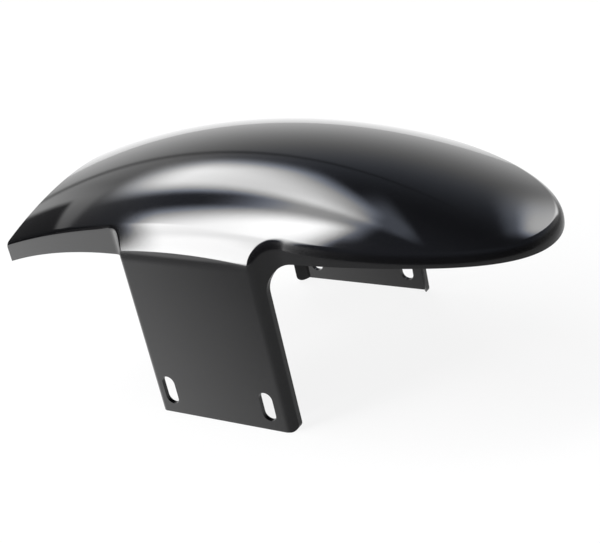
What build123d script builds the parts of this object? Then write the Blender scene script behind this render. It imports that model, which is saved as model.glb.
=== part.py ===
from build123d import *
from math import atan2, degrees, sqrt
import os

# A short front mudguard, moulded in one piece: a crowned roof with a low skirt round its edge, and a
# flat plate on each side that hangs down to the fork leg and carries two upright bolt slots.
# Millimetres. X points forward, Y to the left, Z up from the feet of the plates.

# Overall sizes
overall_length = 310.0
nose_reach = 169.5  # from the middle of the plates to the tip of the nose
crown_height = 129.5  # from the feet of the plates to the top of the roof
wall = 2.5

# Roof: an arc across the guard with a rounded shoulder over each plate, turned about the wheel's axle
crown_radius = 400.0  # from the axle to the top of the roof
axle_setback = 4.0  # the axle lies this far behind the middle of the plates
roof_arc_radius = 148.0
shoulder_radius = 19.0

# Outline seen from above
body_width = 139.0
tail_width = 131.5
tail_hollow = 12.0  # how far the middle of the tail edge lies ahead of its corners
nose_side_pull = 44.0  # length of the curve's handle where the side starts to close in
nose_tip_pull = 44.0  # length of the curve's handle at the tip

# Side plates, standing out from the skirt, with a lip rolled in along their front and rear edges
plate_offset = 8.5
plate_length = 86.0  # from fold to fold
front_root_radius = 18.0  # hollow where the front lip runs into the skirt
rear_root_radius = 10.0  # hollow where the rear lip runs into the skirt
lip_reach = 3.2  # from the fold to the trimmed edge of the lip
plate_corner_radius = 3.5

# Rounding of the edge that runs up the plate's fold and on along the skirt
front_edge_radius = 7.0
rear_edge_radius = 4.0

# Lower rim seen from the side
front_rim_height = 97.0
nose_rim_height = 84.0
tail_rim_height = 92.5
tail_corner_height = 78.0
front_arch_radius = 16.0
rear_arch_radius = 5.0

# Bolt slots in the plates
slot_width = 8.5
slot_length = 17.5
slot_spacing = 65.0
slot_height = 14.5  # from the feet to the middle of the slots
slot_setback = 1.0  # the slots' middle lies this far behind the middle of the plate

# How far a cutting shape runs past what it cuts
overrun = 20.0

# Worked out from the sizes above, with the middle of the plates at X = 0
tail_reach = overall_length - nose_reach
half_body = body_width / 2
half_plate = half_body + plate_offset
fold = plate_length / 2
lip_end = fold + lip_reach
# Where the skirt starts, ahead of the plates and behind them
front_root = fold + sqrt(front_root_radius**2 - (front_root_radius - plate_offset) ** 2)
rear_root = fold + sqrt(rear_root_radius**2 - (rear_root_radius - plate_offset) ** 2)
axle = Axis((-axle_setback, 0, crown_height - crown_radius), (0, 1, 0))


def plan_outline(inset):
    """The outline from above, moved in by inset: nose curve, hollow roots of the plates, narrowing tail."""
    side = half_body - inset
    tip = nose_reach - inset
    beyond = half_plate + overrun
    side_handle = (front_root + nose_side_pull, side)
    nose = Bezier((tip, 0), (tip, nose_tip_pull - inset), side_handle, (front_root, side))
    front_hollow = JernArc((front_root, side), (-1, 0), front_root_radius + inset, -90)
    rear_hollow = JernArc((-rear_root, side), (1, 0), rear_root_radius + inset, 90)
    front_end = front_hollow @ 1
    rear_end = rear_hollow @ 1
    plate = Polyline(front_end, (front_end.X, beyond), (rear_end.X, beyond), rear_end)
    tail = TangentArc((-rear_root, side), (-tail_reach, tail_width / 2 - inset), tangent=(-1, 0))
    tail_run = Line(tail @ 1, tail @ 1 + (tail % 1) * overrun)
    half = Curve() + [nose, front_hollow, plate, rear_hollow, tail, tail_run]
    end = tail_run @ 1
    close = Line(end, (end.X, -end.Y))
    return make_face(half + mirror(half, about=Plane.XZ) + close)


def skin_volume(inset):
    """All that lies under the skin, moved in by inset: roof, shoulders and plates turned about the axle."""
    top = crown_height - inset
    side = half_plate - inset
    base = -overrun - inset
    crown_centre = Vector(0, crown_height - roof_arc_radius)
    across = half_plate - shoulder_radius
    rise = sqrt((roof_arc_radius - shoulder_radius) ** 2 - across**2)
    shoulder_centre = crown_centre + Vector(across, rise)
    outward = Vector(across, rise).normalized()
    halfway = (outward + Vector(1, 0)).normalized()
    start = crown_centre + outward * (roof_arc_radius - inset)
    middle = shoulder_centre + halfway * (shoulder_radius - inset)
    end = Vector(side, shoulder_centre.Y)
    crown = ThreePointArc((-start.X, start.Y), (0, top), start)
    flank = Curve() + [ThreePointArc(start, middle, end), Line(end, (side, base))]
    foot = Line((side, base), (-side, base))
    outline = Curve() + [crown, foot] + flank + mirror(flank, about=Plane.YZ)
    section = Plane.YZ.offset(-axle_setback) * make_face(outline)
    reach = max(nose_reach, tail_reach) + axle_setback + 2 * overrun
    half_angle = degrees(atan2(reach, crown_radius - crown_height))
    return revolve(section.rotate(axle, -half_angle), axle, 2 * half_angle)


def body_form(inset):
    """The solid body under one skin, with the edges between skin and upright walls left sharp."""
    depth = overrun / 2 + inset
    column = extrude(Pos(0, 0, -depth) * plan_outline(inset), depth + crown_height + overrun)
    return column & skin_volume(inset)


def rolled_edges(form, side):
    """The edges where the skin meets the upright walls, ahead of the plates' middle or behind it."""
    skin = form.faces().filter_by(GeomType.TORUS) + form.faces().filter_by(Plane.XZ)
    ends = form.faces().filter_by(Plane.XY) + form.faces().filter_by(Plane.YZ)
    walls = ShapeList(face for face in form.faces() if face not in skin + ends)
    wall_edges = walls.edges()
    return skin.edges().filter_by(lambda edge: edge in wall_edges and edge.center().X * side > 0)


def outer_form():
    """The body under the outer skin, its edge rolled from the feet of the plates to nose and tail."""
    form = body_form(0)
    for side, radius in ((1, front_edge_radius), (-1, rear_edge_radius)):
        form = fillet(rolled_edges(form, side), radius)
    return form


def side_outline():
    """What is kept, seen from the side: above the rim of tail and nose, and the plate between them."""
    tail_start = Vector(-lip_end - rear_arch_radius, tail_rim_height)
    tail_rim = TangentArc(tail_start, (-tail_reach, tail_corner_height), tangent=(-1, 0))
    tail_run = Line(tail_rim @ 1, tail_rim @ 1 + (tail_rim % 1) * 2 * overrun)
    rear_arch = JernArc(tail_start, (1, 0), rear_arch_radius, -90)
    rear_edge = Line(rear_arch @ 1, (-lip_end, plate_corner_radius))
    rear_corner = JernArc(rear_edge @ 1, (0, -1), plate_corner_radius, 90)
    foot = Line(rear_corner @ 1, (lip_end - plate_corner_radius, 0))
    front_corner = JernArc(foot @ 1, (1, 0), plate_corner_radius, 90)
    front_edge = Line(front_corner @ 1, (lip_end, front_rim_height - front_arch_radius))
    front_arch = JernArc(front_edge @ 1, (0, 1), front_arch_radius, -90)
    nose_rim = TangentArc(front_arch @ 1, (nose_reach, nose_rim_height), tangent=(1, 0))
    nose_run = Line(nose_rim @ 1, nose_rim @ 1 + (nose_rim % 1) * overrun)
    above = crown_height + overrun
    front_end = nose_run @ 1
    rear_end = tail_run @ 1
    top = Polyline(front_end, (front_end.X, above), (rear_end.X, above), rear_end)
    rim = [tail_run, tail_rim, rear_arch, rear_edge, rear_corner, foot]
    rim += [front_corner, front_edge, front_arch, nose_rim, nose_run]
    return make_face(Curve() + rim + top)


def tail_cutter():
    """The upright cylinder that trims the tail to its hollow edge."""
    radius = (tail_hollow**2 + (tail_width / 2) ** 2) / (2 * tail_hollow)
    middle = -tail_reach + tail_hollow - radius
    return Pos(middle, 0, crown_height / 2) * Cylinder(radius, crown_height + 2 * overrun)


def slot_cutters():
    """Two upright slots, cut straight through both plates."""
    slot = SlotOverall(slot_length, slot_width, rotation=90)
    places = [Pos(-slot_setback + side * slot_spacing / 2, slot_height) for side in (-1, 1)]
    return [extrude(Plane.XZ * place * slot, half_plate + overrun, both=True) for place in places]


def mudguard():
    """The wall between the outer and inner skins, trimmed to the rim and the tail edge, with its slots."""
    shell = outer_form() - body_form(wall)
    kept = extrude(Plane.XZ * side_outline(), half_plate + overrun, both=True)
    trimmed = (shell & kept) - tail_cutter()
    for cutter in slot_cutters():
        trimmed -= cutter
    return Pos(overall_length / 2 - nose_reach, 0, 0) * trimmed


os.makedirs("parts", exist_ok=True)
export_step(mudguard(), "parts/mudguard.step")
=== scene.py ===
import math

import bmesh
import bpy
import numpy as np
from mathutils import Matrix, Vector


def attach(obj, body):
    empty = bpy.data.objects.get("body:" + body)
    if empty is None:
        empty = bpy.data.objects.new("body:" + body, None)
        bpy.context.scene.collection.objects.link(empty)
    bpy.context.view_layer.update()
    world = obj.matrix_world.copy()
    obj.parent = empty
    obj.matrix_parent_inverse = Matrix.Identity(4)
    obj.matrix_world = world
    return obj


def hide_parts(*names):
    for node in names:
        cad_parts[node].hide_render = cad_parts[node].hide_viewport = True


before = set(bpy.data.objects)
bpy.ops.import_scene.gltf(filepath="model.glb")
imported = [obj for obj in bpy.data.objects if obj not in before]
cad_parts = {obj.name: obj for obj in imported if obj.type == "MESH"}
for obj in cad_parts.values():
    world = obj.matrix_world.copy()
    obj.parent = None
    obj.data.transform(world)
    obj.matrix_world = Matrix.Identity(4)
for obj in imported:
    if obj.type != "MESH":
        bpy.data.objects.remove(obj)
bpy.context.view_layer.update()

# Camera: where it stands around the part, and what it looks at, in metres and degrees
CAMERA_AIM = Vector((-0.0157, 0.0161, 0.0405))
CAMERA_DISTANCE = 0.7714
CAMERA_AZIMUTH = 38.1
CAMERA_ELEVATION = 26.1
CAMERA_ROLL = 13.0
CAMERA_LENS = 80.7
SENSOR_WIDTH = 36.0
NEAREST_SEEN = 0.01

# Floor: a pale sheet, and the share of it that is seen as plain white
FLOOR_SIZE = 40.0
FLOOR_COLOUR = (0.86, 0.86, 0.86, 1.0)
FLOOR_GLOW = 0.88

# Studio: soft boxes on a wall behind the tail and on the far wall, a white sweep, and a dim room.
# Each edge of a box is its slant across and up the wall, then where it is dark and where it is full.
TAIL_WALL_AZIMUTH = -97.0
FAR_WALL_AZIMUTH = 175.0
NEAREST_WALL = 0.02
WALL_FADE = (NEAREST_WALL, 0.12)
KEY_RIGHT = (1.0, 0.0, 2.60, 2.45)
KEY_LIGHT = 8.2
KEY_EDGES = ((1.0, 0.26, 0.05, 0.40), KEY_RIGHT, (0.45, 1.0, 4.6, 2.7))
CORE_LIGHT = 2.0
CORE_EDGES = ((1.0, 0.0, 0.60, 1.20), KEY_RIGHT, (0.0, 1.0, 2.6, 1.4))
KEY_TAIL_WAY = (1.0, 0.044, 0.0)  # both fade out against this way
KEY_TAIL_FADE = (-0.776, -0.676)
STRIP_LIGHT = 4.5
STRIP_EDGES = (
    (1.0, 0.26, -0.84, -0.34),
    (1.0, 0.26, -0.05, -0.25),
    (1.5, 1.0, -0.42, 0.02),
    (0.0, 1.0, 0.49, 0.87),
    (0.0, 1.0, 5.5, 1.4),
)
BRIDGE_LIGHT = 2.4
BRIDGE_EDGES = (
    (1.0, 0.26, -0.45, -0.15),
    (1.0, 0.26, 1.0, 0.5),
    (0.0, 1.0, 1.2, 2.5),
    (0.0, 1.0, 6.4, 2.8),
)
GLOW_LIGHT = 0.45
GLOW_EDGES = ((1.0, 0.26, -1.3, -0.75), (1.0, 0.26, 0.1, -0.4), (0.0, 1.0, 2.4, 4.4))
DOOR_LIGHT = 0.28
DOOR_EDGES = ((1.0, 0.0, -0.45, -0.30), (1.0, 0.0, 0.50, 0.30), (0.0, 1.0, 0.55, 0.49))
PANEL_DARKNESS = 0.92
PANEL_EDGES = ((1.0, 0.0, -0.335, -0.285), (1.0, 0.0, 0.80, 0.60), (-0.35, 1.0, 0.505, 0.475))
NOSE_ENDS = ((1.0, 0.0, -0.135, -0.05), (0.0, 1.0, 0.10, 0.35))
NOSE_LIGHT = 2.3
NOSE_EDGES = ((2.42, 1.0, 0.98, 0.785), (1.0, 0.0, 0.19, -0.06)) + NOSE_ENDS
HALO_LIGHT = 0.45
HALO_EDGES = ((2.42, 1.0, 1.20, 0.93), (1.0, 0.0, 0.24, 0.05)) + NOSE_ENDS
ROOM_LIGHT = 0.08
SWEEP_AZIMUTH = -180.0
SWEEP_SIDES = (0.10, 0.60)
SWEEP_HEIGHTS = (0.04, 0.90)
SWEEP_LIGHTS = (0.65, 0.015)  # at its foot and at its top
HEM_SLANT = 1.34
HEM_DROP = 0.41
HEM_WIDTH = 0.08
HEM_LIGHT = 0.4
WHITE_LIGHT = (1.0, 1.0, 1.0, 1.0)
COOL_LIGHT = (0.90, 1.0, 1.22, 1.0)
COOL_HEIGHTS = (0.40, 0.75)
COOL_LEVELS = (2.5, 0.8)  # light this strong is white, and light this dim is cool

# Where the skin is lacquered, and where the lacquer is thinned or left off to paint shade into its
# reflections: each pair is where a zone starts and where it is full, in metres, or in how far the skin's
# direction reaches outward, forward or up
MIDDLE = (0.0, 0.0, 0.03)  # outer faces look away from this point
LOOKING_OUT = (-0.12, 0.08)
PLATE_SIDES = (0.0700, 0.0765)
PLATE_TOP = (0.100, 0.098)
# Painted shade: the fold and front wall are left bare of lacquer, which darkens their reflection to a dark
# band
FRONT_START = (0.0285, 0.0345)
TURNED_FORWARD = (0.10, 0.45)
STANDING_UPRIGHT = (0.82, 0.60)
# Painted shade: the plates' lacquer thins forward and upward and fades out near their top, darkening the
# reflection there and painting a dark line under the shoulder
PLATE_LACQUER = 0.405  # cover on a plate, level with the origin
PAINTED_SHADE_ALONG = -6.0  # for each metre forward
PAINTED_SHADE_UP = -3.0  # for each metre up
MOST_PLATE_LACQUER = 0.7
PAINTED_LINE_FADE = (0.097, 0.093)

# The lacquer and the black under it: each pair is the least and the most roughness of a finish
LACQUER_ROUGHNESS = 0.045
LACQUER_IOR = 1.70
SPECULAR_LEVEL = 0.25
DEEP_BLACK = (0.0030, 0.0030, 0.0036, 1.0)
PALE_BLACK = (0.0065, 0.0065, 0.0072, 1.0)
POLISHED = (0.07, 0.12)
PLAIN = (0.20, 0.28)
SATIN = (0.36, 0.48)
NOISE_SPAN = (0.3, 0.7)  # the part of a noise that the roughness follows
FLOW = {"Scale": 24.0, "Detail": 3.0}
PEEL = {"Scale": 170.0, "Detail": 2.0}
GRAIN = {"Scale": 2600.0, "Detail": 2.0}
PEEL_DEPTH = 0.00006
PEEL_STRENGTH = 0.10
GRAIN_DEPTH = 0.00012
GRAIN_STRENGTH = 0.35

# Mesh of the skin
WELD_GAP = 1e-6
SHARP_ANGLE = math.radians(25.0)
BEND = 0.5  # share of the corners' lean that the middle of an edge takes up
AGREEMENT = 0.87  # a corner follows the form below where the faces round it look the same way
NOSE_SPOTS = 200
NOSE_ROUNDS = 4
ROLL_ROUNDS = 24
LEAST_SPREAD = 1e-6  # between the ways that roof and wall face
TINY = 1e-12

# The skin's form, as in the solid, in metres from the middle of the plates, which lies at PLATES_X
PLATES_X = -0.0145
CROWN_HEIGHT = 0.1295
CROWN_RADIUS = 0.400
AXLE = (-0.004, CROWN_HEIGHT - CROWN_RADIUS)
ROOF_RADIUS = 0.148
SHOULDER_RADIUS = 0.019
HALF_PLATE = 0.078
HALF_BODY = 0.0695
PLATE_OFFSET = HALF_PLATE - HALF_BODY
FOLD = 0.043
NOSE_TIP = 0.1695
NOSE_PULL = 0.044
FRONT_ROOT_RADIUS = 0.018
REAR_ROOT_RADIUS = 0.010
FRONT_ROOT = FOLD + math.sqrt(FRONT_ROOT_RADIUS**2 - (FRONT_ROOT_RADIUS - PLATE_OFFSET) ** 2)
REAR_ROOT = FOLD + math.sqrt(REAR_ROOT_RADIUS**2 - (REAR_ROOT_RADIUS - PLATE_OFFSET) ** 2)
TAIL_END = (-0.1405, 0.06575)
FRONT_EDGE_RADIUS = 0.007
REAR_EDGE_RADIUS = 0.004
OUTER_DEPTH = 0.0022  # points no deeper than this lie on the outer skin


def add_node(tree, kind, inputs=None, **settings):
    """Adds a node, sets it up, and joins or fills its inputs."""
    node = tree.nodes.new(kind)
    for name, value in settings.items():
        setattr(node, name, value)
    for key, value in (inputs or {}).items():
        if isinstance(value, bpy.types.NodeSocket):
            tree.links.new(value, node.inputs[key])
        else:
            node.inputs[key].default_value = value
    return node


def reckon(tree, operation, *values):
    """One step of arithmetic on sockets or numbers."""
    return add_node(tree, "ShaderNodeMath", dict(enumerate(values)), operation=operation).outputs[0]


def dot(tree, a, b):
    """How far the vector a reaches along b."""
    return add_node(tree, "ShaderNodeVectorMath", {0: a, 1: b}, operation="DOT_PRODUCT").outputs["Value"]


def ramp(tree, value, start, end, low=0.0, high=1.0):
    """A smooth step from low at start to high at end."""
    if start > end:
        start, end, low, high = end, start, high, low
    inputs = {"Value": value, "From Min": start, "From Max": end, "To Min": low, "To Max": high}
    return add_node(tree, "ShaderNodeMapRange", inputs, interpolation_type="SMOOTHSTEP").outputs["Result"]


def blend(tree, share, first, second):
    """A number that goes from first to second with share."""
    return add_node(tree, "ShaderNodeMix", {0: share, 2: first, 3: second}, data_type="FLOAT").outputs[0]


def blend_colour(tree, share, first, second):
    """A colour that goes from first to second with share."""
    return add_node(tree, "ShaderNodeMix", {0: share, 6: first, 7: second}, data_type="RGBA").outputs[2]


def heading(azimuth, elevation=0.0):
    """The direction at an angle from the part's right side, turned towards its nose, and raised."""
    turn, rise = math.radians(azimuth), math.radians(elevation)
    return Vector((math.sin(turn) * math.cos(rise), -math.cos(turn) * math.cos(rise), math.sin(rise)))


def make_camera():
    """The camera looks down at the guard from ahead and to its right, and leans a little."""
    roll = math.radians(CAMERA_ROLL)
    back = heading(CAMERA_AZIMUTH, CAMERA_ELEVATION)
    level = heading(CAMERA_AZIMUTH + 90.0)
    rise = back.cross(level)
    right = math.cos(roll) * level - math.sin(roll) * rise
    up = math.sin(roll) * level + math.cos(roll) * rise
    data = bpy.data.cameras.new("camera")
    data.lens = CAMERA_LENS
    data.sensor_width = SENSOR_WIDTH
    data.clip_start = NEAREST_SEEN
    camera = bpy.data.objects.new("camera", data)
    bpy.context.scene.collection.objects.link(camera)
    turn = Matrix((right, up, back)).transposed().to_4x4()
    camera.matrix_world = Matrix.Translation(CAMERA_AIM + CAMERA_DISTANCE * back) @ turn
    bpy.context.scene.camera = camera


def lacquer_and_shade_cover(tree, place, normal):
    """How fully the lacquer covers the skin, with painted shade where it is thinned or left off to darken
    reflections, and where the skin is smooth and not as it leaves the mould.
    """
    outward = add_node(tree, "ShaderNodeVectorMath", {0: place, 1: MIDDLE}, operation="SUBTRACT").outputs[0]
    outward = add_node(tree, "ShaderNodeVectorMath", {0: outward}, operation="NORMALIZE").outputs[0]
    outside = ramp(tree, dot(tree, normal, outward), *LOOKING_OUT)
    at = add_node(tree, "ShaderNodeSeparateXYZ", {0: place}).outputs
    facing = add_node(tree, "ShaderNodeSeparateXYZ", {0: normal}).outputs

    # The plates, lacquered more thinly towards their upper front corner and not at all along their top edge:
    # painted shade, a darker reflection there and a dark line under the shoulder
    plate = ramp(tree, reckon(tree, "ABSOLUTE", at["Y"]), *PLATE_SIDES)
    plate = reckon(tree, "MULTIPLY", plate, ramp(tree, at["Z"], *PLATE_TOP))
    plate_shaded_lacquer = reckon(tree, "MULTIPLY_ADD", at["X"], PAINTED_SHADE_ALONG, PLATE_LACQUER)
    plate_shaded_lacquer = reckon(tree, "MULTIPLY_ADD", at["Z"], PAINTED_SHADE_UP, plate_shaded_lacquer)
    plate_shaded_lacquer = reckon(tree, "MINIMUM", reckon(tree, "MAXIMUM", plate_shaded_lacquer, 0.0), MOST_PLATE_LACQUER)
    plate_shaded_lacquer = reckon(tree, "MULTIPLY", plate_shaded_lacquer, ramp(tree, at["Z"], *PAINTED_LINE_FADE))

    # Painted shade: the fold and the upright wall ahead of it are left bare, so their reflection darkens to
    # a dark band
    ahead = ramp(tree, at["X"], *FRONT_START)
    ahead = reckon(tree, "MAXIMUM", ramp(tree, facing["X"], *TURNED_FORWARD), ahead)
    upright = ramp(tree, reckon(tree, "ABSOLUTE", facing["Z"]), *STANDING_UPRIGHT)
    bare_painted_shade = reckon(tree, "MULTIPLY", upright, ahead)

    cover_and_shade = blend(tree, plate, outside, plate_shaded_lacquer)
    cover_and_shade = reckon(tree, "MULTIPLY", cover_and_shade, reckon(tree, "SUBTRACT", 1.0, bare_painted_shade))
    return cover_and_shade, reckon(tree, "MAXIMUM", outside, plate)


def gloss_black():
    """Black moulding: lacquered over the roof and satin inside, with the lacquer thinned on the plates and
    left off the fold and front wall to paint darker reflections there.
    """
    material = bpy.data.materials.new("gloss_black")
    material.use_nodes = True
    tree = material.node_tree
    shader = tree.nodes["Principled BSDF"]
    place = add_node(tree, "ShaderNodeTexCoord").outputs["Object"]
    normal = add_node(tree, "ShaderNodeNewGeometry").outputs["Normal"]
    lacquer_and_shade, smooth = lacquer_and_shade_cover(tree, place, normal)

    flow, peel, grain = (
        add_node(tree, "ShaderNodeTexNoise", {"Vector": place, **noise}).outputs[0]
        for noise in (FLOW, PEEL, GRAIN)
    )
    tree.links.new(blend_colour(tree, flow, DEEP_BLACK, PALE_BLACK), shader.inputs["Base Color"])

    polished = ramp(tree, flow, *NOISE_SPAN, *POLISHED)
    plain = ramp(tree, flow, *NOISE_SPAN, *PLAIN)
    satin = ramp(tree, grain, *NOISE_SPAN, *SATIN)
    finish = blend(tree, smooth, satin, blend(tree, lacquer_and_shade, plain, polished))
    tree.links.new(finish, shader.inputs["Roughness"])
    tree.links.new(lacquer_and_shade, shader.inputs["Coat Weight"])
    shader.inputs["Specular IOR Level"].default_value = SPECULAR_LEVEL
    shader.inputs["Coat Roughness"].default_value = LACQUER_ROUGHNESS
    shader.inputs["Coat IOR"].default_value = LACQUER_IOR

    wave = {"Strength": PEEL_STRENGTH, "Distance": PEEL_DEPTH, "Height": peel}
    wave = add_node(tree, "ShaderNodeBump", wave).outputs[0]
    tooth = ramp(tree, smooth, 0.0, 1.0, GRAIN_STRENGTH, 0.0)
    fine = {"Strength": tooth, "Distance": GRAIN_DEPTH, "Height": grain, "Normal": wave}
    tree.links.new(add_node(tree, "ShaderNodeBump", fine).outputs[0], shader.inputs["Normal"])
    tree.links.new(wave, shader.inputs["Coat Normal"])
    return material


def unit(vectors):
    """Vectors brought to length one."""
    return vectors / np.maximum(np.linalg.norm(vectors, axis=-1, keepdims=True), TINY)


def along(a, b):
    """How far each vector of a reaches along its fellow in b."""
    return np.sum(a * b, axis=-1, keepdims=True)


def skin_depth(points):
    """How deep points lie under roof, shoulder or plate, and the direction out."""
    x, y, z = points[:, 0] - AXLE[0], points[:, 1], points[:, 2] - AXLE[1]
    radial = np.hypot(x, z)
    height = radial + AXLE[1]
    side = np.sign(y + TINY)
    y = np.abs(y)
    crown = CROWN_HEIGHT - ROOF_RADIUS
    across = HALF_PLATE - SHOULDER_RADIUS
    rise = math.sqrt((ROOF_RADIUS - SHOULDER_RADIUS) ** 2 - across**2)
    roof = np.stack([y, height - crown], 1)
    shoulder = np.stack([y - across, height - crown - rise], 1)
    on_roof = y * rise < (height - crown) * across
    on_plate = ~on_roof & (height < crown + rise)
    out = np.where(on_roof[:, None], unit(roof), unit(shoulder))
    out[on_plate] = (1.0, 0.0)
    depth = np.where(on_roof, ROOF_RADIUS - np.linalg.norm(roof, axis=1), 0.0)
    depth += np.where(~on_roof & ~on_plate, SHOULDER_RADIUS - np.linalg.norm(shoulder, axis=1), 0.0)
    depth += np.where(on_plate, HALF_PLATE - y, 0.0)
    return depth[:, None], np.stack([out[:, 1] * x / radial, out[:, 0] * side, out[:, 1] * z / radial], 1)


def nose_outline(share):
    """The nose from above, at shares of its run from tip to root, and its first two rates of change."""
    a, b = np.array((NOSE_TIP, 0.0)), np.array((NOSE_TIP, NOSE_PULL))
    c, d = np.array((FRONT_ROOT + NOSE_PULL, HALF_BODY)), np.array((FRONT_ROOT, HALF_BODY))
    t = share[:, None]
    place = (1 - t) ** 3 * a + 3 * (1 - t) ** 2 * t * b + 3 * (1 - t) * t**2 * c + t**3 * d
    rate = 3 * ((1 - t) ** 2 * (b - a) + 2 * (1 - t) * t * (c - b) + t**2 * (d - c))
    change = 6 * ((1 - t) * (c - 2 * b + a) + t * (d - 2 * c + b))
    return place, rate, change


def nose_depth(flat):
    """How deep points seen from above lie behind the nose's outline, and the direction out."""
    spots = np.linspace(0.0, 1.0, NOSE_SPOTS)
    gaps = np.linalg.norm(flat[:, None] - nose_outline(spots)[0][None], axis=2)
    share = spots[np.argmin(gaps, axis=1)]
    for _ in range(NOSE_ROUNDS):
        place, rate, change = nose_outline(share)
        gap = place - flat
        slope = along(rate, rate) + along(gap, change)
        share = np.clip(share - (along(gap, rate) / slope)[:, 0], 0.0, 1.0)
    place, rate, _ = nose_outline(share)
    facing = unit(np.stack([rate[:, 1], -rate[:, 0]], 1))
    return along(place - flat, facing)[:, 0], facing


def wall_depth(points):
    """How deep points lie behind the upright wall of nose, plate root or tail, and the direction out."""
    side = np.sign(points[:, 1] + TINY)
    flat = np.stack([points[:, 0], np.abs(points[:, 1])], 1)
    depth, out = np.zeros(len(flat)), np.zeros((len(flat), 2))

    run, drop = -TAIL_END[0] - REAR_ROOT, HALF_BODY - TAIL_END[1]
    tail_radius = (run**2 + drop**2) / (2 * drop)
    tail = flat - (-REAR_ROOT, HALF_BODY - tail_radius)
    here = flat[:, 0] <= -REAR_ROOT
    depth[here] = (tail_radius - np.linalg.norm(tail, axis=1))[here]
    out[here] = unit(tail)[here]
    for root, radius, part in (
        (FRONT_ROOT, FRONT_ROOT_RADIUS, (flat[:, 0] >= 0) & (flat[:, 0] < FRONT_ROOT)),
        (-REAR_ROOT, REAR_ROOT_RADIUS, (flat[:, 0] < 0) & (flat[:, 0] > -REAR_ROOT)),
    ):
        hollow = flat - (root, HALF_BODY + radius)
        depth[part] = (np.linalg.norm(hollow, axis=1) - radius)[part]
        out[part] = -unit(hollow)[part]
    here = np.flatnonzero(flat[:, 0] >= FRONT_ROOT)
    if len(here):
        depth[here], out[here] = nose_depth(flat[here])
    return depth[:, None], np.stack([out[:, 0], out[:, 1] * side, np.zeros(len(flat))], 1)


def outer_normals(points):
    """The outer skin's direction at points on roof, wall or the roll between, and which points lie on it."""
    spots = np.array(points) - (PLATES_X, 0.0, 0.0)
    skin, skin_out = skin_depth(spots)
    wall, wall_out = wall_depth(spots)
    result = np.where(skin < wall, skin_out, wall_out)
    radius = np.where(spots[:, :1] > 0, FRONT_EDGE_RADIUS, REAR_EDGE_RADIUS)
    near = np.flatnonzero(((skin < radius) & (wall < radius))[:, 0])
    spot, radius = spots[near], radius[near]
    centre = spot - radius * unit(skin_out[near] + wall_out[near])
    for _ in range(ROLL_ROUNDS):
        deep, up = skin_depth(centre)
        back, out = wall_depth(centre)
        share = along(up, out)
        scale = np.maximum(1 - share**2, LEAST_SPREAD)
        lift, push = deep - radius, back - radius
        centre += ((lift - share * push) * up + (push - share * lift) * out) / scale
        run = unit(np.cross(up, out))
        centre += along(spot - centre, run) * run
    _, up = skin_depth(centre)
    _, out = wall_depth(centre)
    roll = unit(spot - centre)
    share = along(up, out)
    upward, outward = along(roll, up), along(roll, out)
    on_roll = (upward > share * outward) & (outward > share * upward)
    beside = np.where(upward > outward, skin_out[near], wall_out[near])
    result[near] = np.where(on_roll, roll, beside)
    return result, (np.minimum(skin, wall) < OUTER_DEPTH)[:, 0]


def fan_normals(mesh):
    """The skin's direction at each corner of each face, shared over smooth edges and not over sharp ones."""
    shared = {}
    exact, outer = outer_normals([vert.co for vert in mesh.verts])
    for vert in mesh.verts:
        true = Vector(exact[vert.index])
        left = list(vert.link_faces)
        while left:
            fan, queue = [], [left.pop()]
            while queue:
                face = queue.pop()
                fan.append(face)
                for edge in face.edges:
                    if edge.smooth and vert in edge.verts:
                        for other in edge.link_faces:
                            if other in left:
                                left.remove(other)
                                queue.append(other)
            total = Vector()
            for face in fan:
                total += face.normal * face.calc_area()
            total.normalize()
            if outer[vert.index] and total.dot(true) > AGREEMENT:
                total = true
            for face in fan:
                shared[vert.index, face.index] = total
    return shared


def finer(mesh):
    """Splits each face in four, and bends its edges out to where the corners' directions put the skin."""
    shared = fan_normals(mesh)
    points = [vert.co.copy() for vert in mesh.verts]
    halves, sharp = {}, set()
    for edge in mesh.edges:
        ends = [vert.index for vert in edge.verts]
        middle = (points[ends[0]] + points[ends[1]]) / 2
        bends = []
        for face in edge.link_faces:
            outs = [shared[i, face.index] for i in ends]
            offsets = [out * (points[i] - middle).dot(out) for i, out in zip(ends, outs)]
            bends.append(BEND * (offsets[0] + offsets[1]) / 2)
        bend = (bends[0] + bends[1]) / 2 if edge.smooth else bends[0] + bends[1]
        halves[frozenset(ends)] = len(points)
        if not edge.smooth:
            sharp.update(frozenset((i, len(points))) for i in ends)
        points.append(middle + bend)
    faces = []
    for face in mesh.faces:
        a, b, c = (vert.index for vert in face.verts)
        ab, bc, ca = (halves[frozenset(pair)] for pair in ((a, b), (b, c), (c, a)))
        faces += [(a, ab, ca), (b, bc, ab), (c, ca, bc), (ab, bc, ca)]
    result = bmesh.new()
    verts = [result.verts.new(point) for point in points]
    result.verts.index_update()
    for face in faces:
        result.faces.new([verts[i] for i in face])
    result.faces.index_update()
    for edge in result.edges:
        edge.smooth = frozenset(vert.index for vert in edge.verts) not in sharp
    result.normal_update()
    return result


def make_guard(node):
    """The guard that is seen: the solid's skin made finer, smooth where it curves and crisp at its trim."""
    coarse = bmesh.new()
    coarse.from_mesh(node.data)
    bmesh.ops.remove_doubles(coarse, verts=coarse.verts, dist=WELD_GAP)
    bmesh.ops.triangulate(coarse, faces=coarse.faces)
    coarse.verts.index_update()
    coarse.faces.index_update()
    coarse.normal_update()
    for edge in coarse.edges:
        edge.smooth = edge.calc_face_angle(math.pi) < SHARP_ANGLE
    fine = finer(coarse)
    shared = fan_normals(fine)
    data = bpy.data.meshes.new("guard_skin")
    corners = [shared[vert.index, face.index] for face in fine.faces for vert in face.verts]
    for face in fine.faces:
        face.smooth = True
    fine.to_mesh(data)
    data.normals_split_custom_set(corners)
    data.materials.append(gloss_black())
    guard = bpy.data.objects.new("guard_skin", data)
    bpy.context.scene.collection.objects.link(guard)
    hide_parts("mudguard")
    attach(guard, "root")


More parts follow.
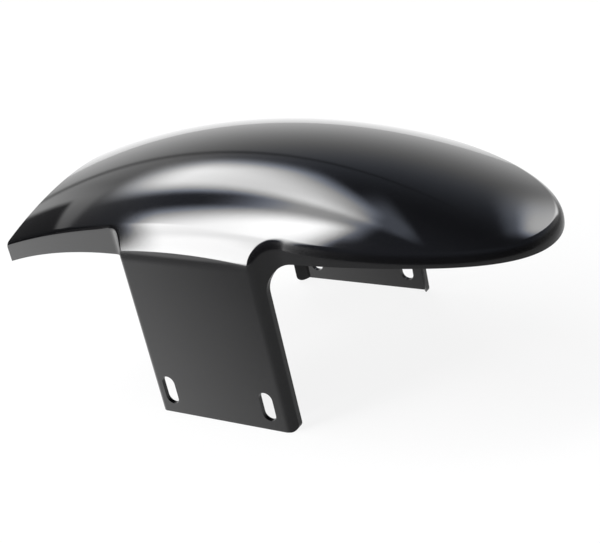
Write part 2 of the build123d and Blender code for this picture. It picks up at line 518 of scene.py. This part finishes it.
def make_floor():
    """A plain white floor that the camera and reflections see as white, with a faint shadow on it."""
    mesh = bpy.data.meshes.new("floor")
    half = FLOOR_SIZE / 2
    corners = [(-half, -half, 0.0), (half, -half, 0.0), (half, half, 0.0), (-half, half, 0.0)]
    mesh.from_pydata(corners, [], [(0, 1, 2, 3)])
    floor = bpy.data.objects.new("floor", mesh)
    bpy.context.scene.collection.objects.link(floor)
    material = bpy.data.materials.new("floor_white")
    material.use_nodes = True
    tree = material.node_tree
    tree.nodes.clear()
    ray = add_node(tree, "ShaderNodeLightPath").outputs
    seen = reckon(tree, "MAXIMUM", ray["Is Camera Ray"], ray["Is Glossy Ray"])
    seen = reckon(tree, "MAXIMUM", seen, ray["Is Transmission Ray"])
    paper = add_node(tree, "ShaderNodeBsdfDiffuse", {"Color": FLOOR_COLOUR}).outputs[0]
    glow = add_node(tree, "ShaderNodeEmission", {"Strength": 1.0}).outputs[0]
    share = reckon(tree, "MULTIPLY", seen, FLOOR_GLOW)
    mix = add_node(tree, "ShaderNodeMixShader", {0: share, 1: paper, 2: glow}).outputs[0]
    add_node(tree, "ShaderNodeOutputMaterial", {"Surface": mix})
    mesh.materials.append(material)


def studio_wall(tree, ray, height, azimuth):
    """How squarely rays go to the wall at an azimuth, and where they meet it, across and up."""
    depth = dot(tree, ray, heading(azimuth))
    near = reckon(tree, "MAXIMUM", depth, NEAREST_WALL)
    across = reckon(tree, "DIVIDE", dot(tree, ray, heading(azimuth + 90.0)), near)
    return depth, across, reckon(tree, "DIVIDE", height, near)


def soft_box(tree, wall, light, edges):
    """A soft box on a wall, as bright as light between its edges."""
    depth, across, up = wall
    share = ramp(tree, depth, *WALL_FADE, 0.0, light)
    for slant_across, slant_up, dark, full in edges:
        reach = reckon(tree, "MULTIPLY", across, slant_across)
        reach = reckon(tree, "MULTIPLY_ADD", up, slant_up, reach)
        share = reckon(tree, "MULTIPLY", share, ramp(tree, reach, dark, full))
    return share


def make_world():
    """The studio as the guard sees it: soft boxes on two walls, a white sweep, and a dim room."""
    world = bpy.data.worlds.new("studio")
    bpy.context.scene.world = world
    world.use_nodes = True
    tree = world.node_tree
    ray = add_node(tree, "ShaderNodeTexCoord").outputs["Generated"]
    height = add_node(tree, "ShaderNodeSeparateXYZ", {0: ray}).outputs["Z"]
    tail_wall = studio_wall(tree, ray, height, TAIL_WALL_AZIMUTH)
    far_wall = studio_wall(tree, ray, height, FAR_WALL_AZIMUTH)

    key = soft_box(tree, tail_wall, KEY_LIGHT, KEY_EDGES)
    core = soft_box(tree, tail_wall, CORE_LIGHT, CORE_EDGES)
    key_tail = ramp(tree, dot(tree, ray, KEY_TAIL_WAY), *KEY_TAIL_FADE)
    boxes = reckon(tree, "MULTIPLY", reckon(tree, "ADD", key, core), key_tail)
    for wall, light, edges in (
        (tail_wall, STRIP_LIGHT, STRIP_EDGES),
        (tail_wall, BRIDGE_LIGHT, BRIDGE_EDGES),
        (tail_wall, GLOW_LIGHT, GLOW_EDGES),
        (tail_wall, DOOR_LIGHT, DOOR_EDGES),
        (far_wall, NOSE_LIGHT, NOSE_EDGES),
        (far_wall, HALO_LIGHT, HALO_EDGES),
    ):
        boxes = reckon(tree, "ADD", boxes, soft_box(tree, wall, light, edges))

    # The sweep, brightest at its foot, with a dim hem slanting across it
    behind = ramp(tree, dot(tree, ray, heading(SWEEP_AZIMUTH)), *SWEEP_SIDES)
    sweep = ramp(tree, height, *SWEEP_HEIGHTS, *SWEEP_LIGHTS)
    _, across, up = tail_wall
    hem = reckon(tree, "MULTIPLY_ADD", across, HEM_SLANT, up)
    hem = reckon(tree, "ABSOLUTE", reckon(tree, "ADD", hem, HEM_DROP))
    hem = ramp(tree, hem, 0.0, HEM_WIDTH, HEM_LIGHT, 1.0)
    light = blend(tree, behind, ROOM_LIGHT, reckon(tree, "MULTIPLY", sweep, hem))

    # A dark panel on the tail wall takes light away, and dim light from above is cooler
    light = reckon(tree, "ADD", light, boxes)
    panel = soft_box(tree, tail_wall, PANEL_DARKNESS, PANEL_EDGES)
    light = reckon(tree, "MULTIPLY", light, reckon(tree, "SUBTRACT", 1.0, panel))
    cool = reckon(tree, "MULTIPLY", ramp(tree, height, *COOL_HEIGHTS), ramp(tree, light, *COOL_LEVELS))
    background = tree.nodes["Background"].inputs
    tree.links.new(light, background["Strength"])
    tree.links.new(blend_colour(tree, cool, WHITE_LIGHT, COOL_LIGHT), background["Color"])


make_camera()
make_floor()
make_world()
make_guard(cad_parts["mudguard"])

bpy.context.scene.view_settings.view_transform = "Standard"
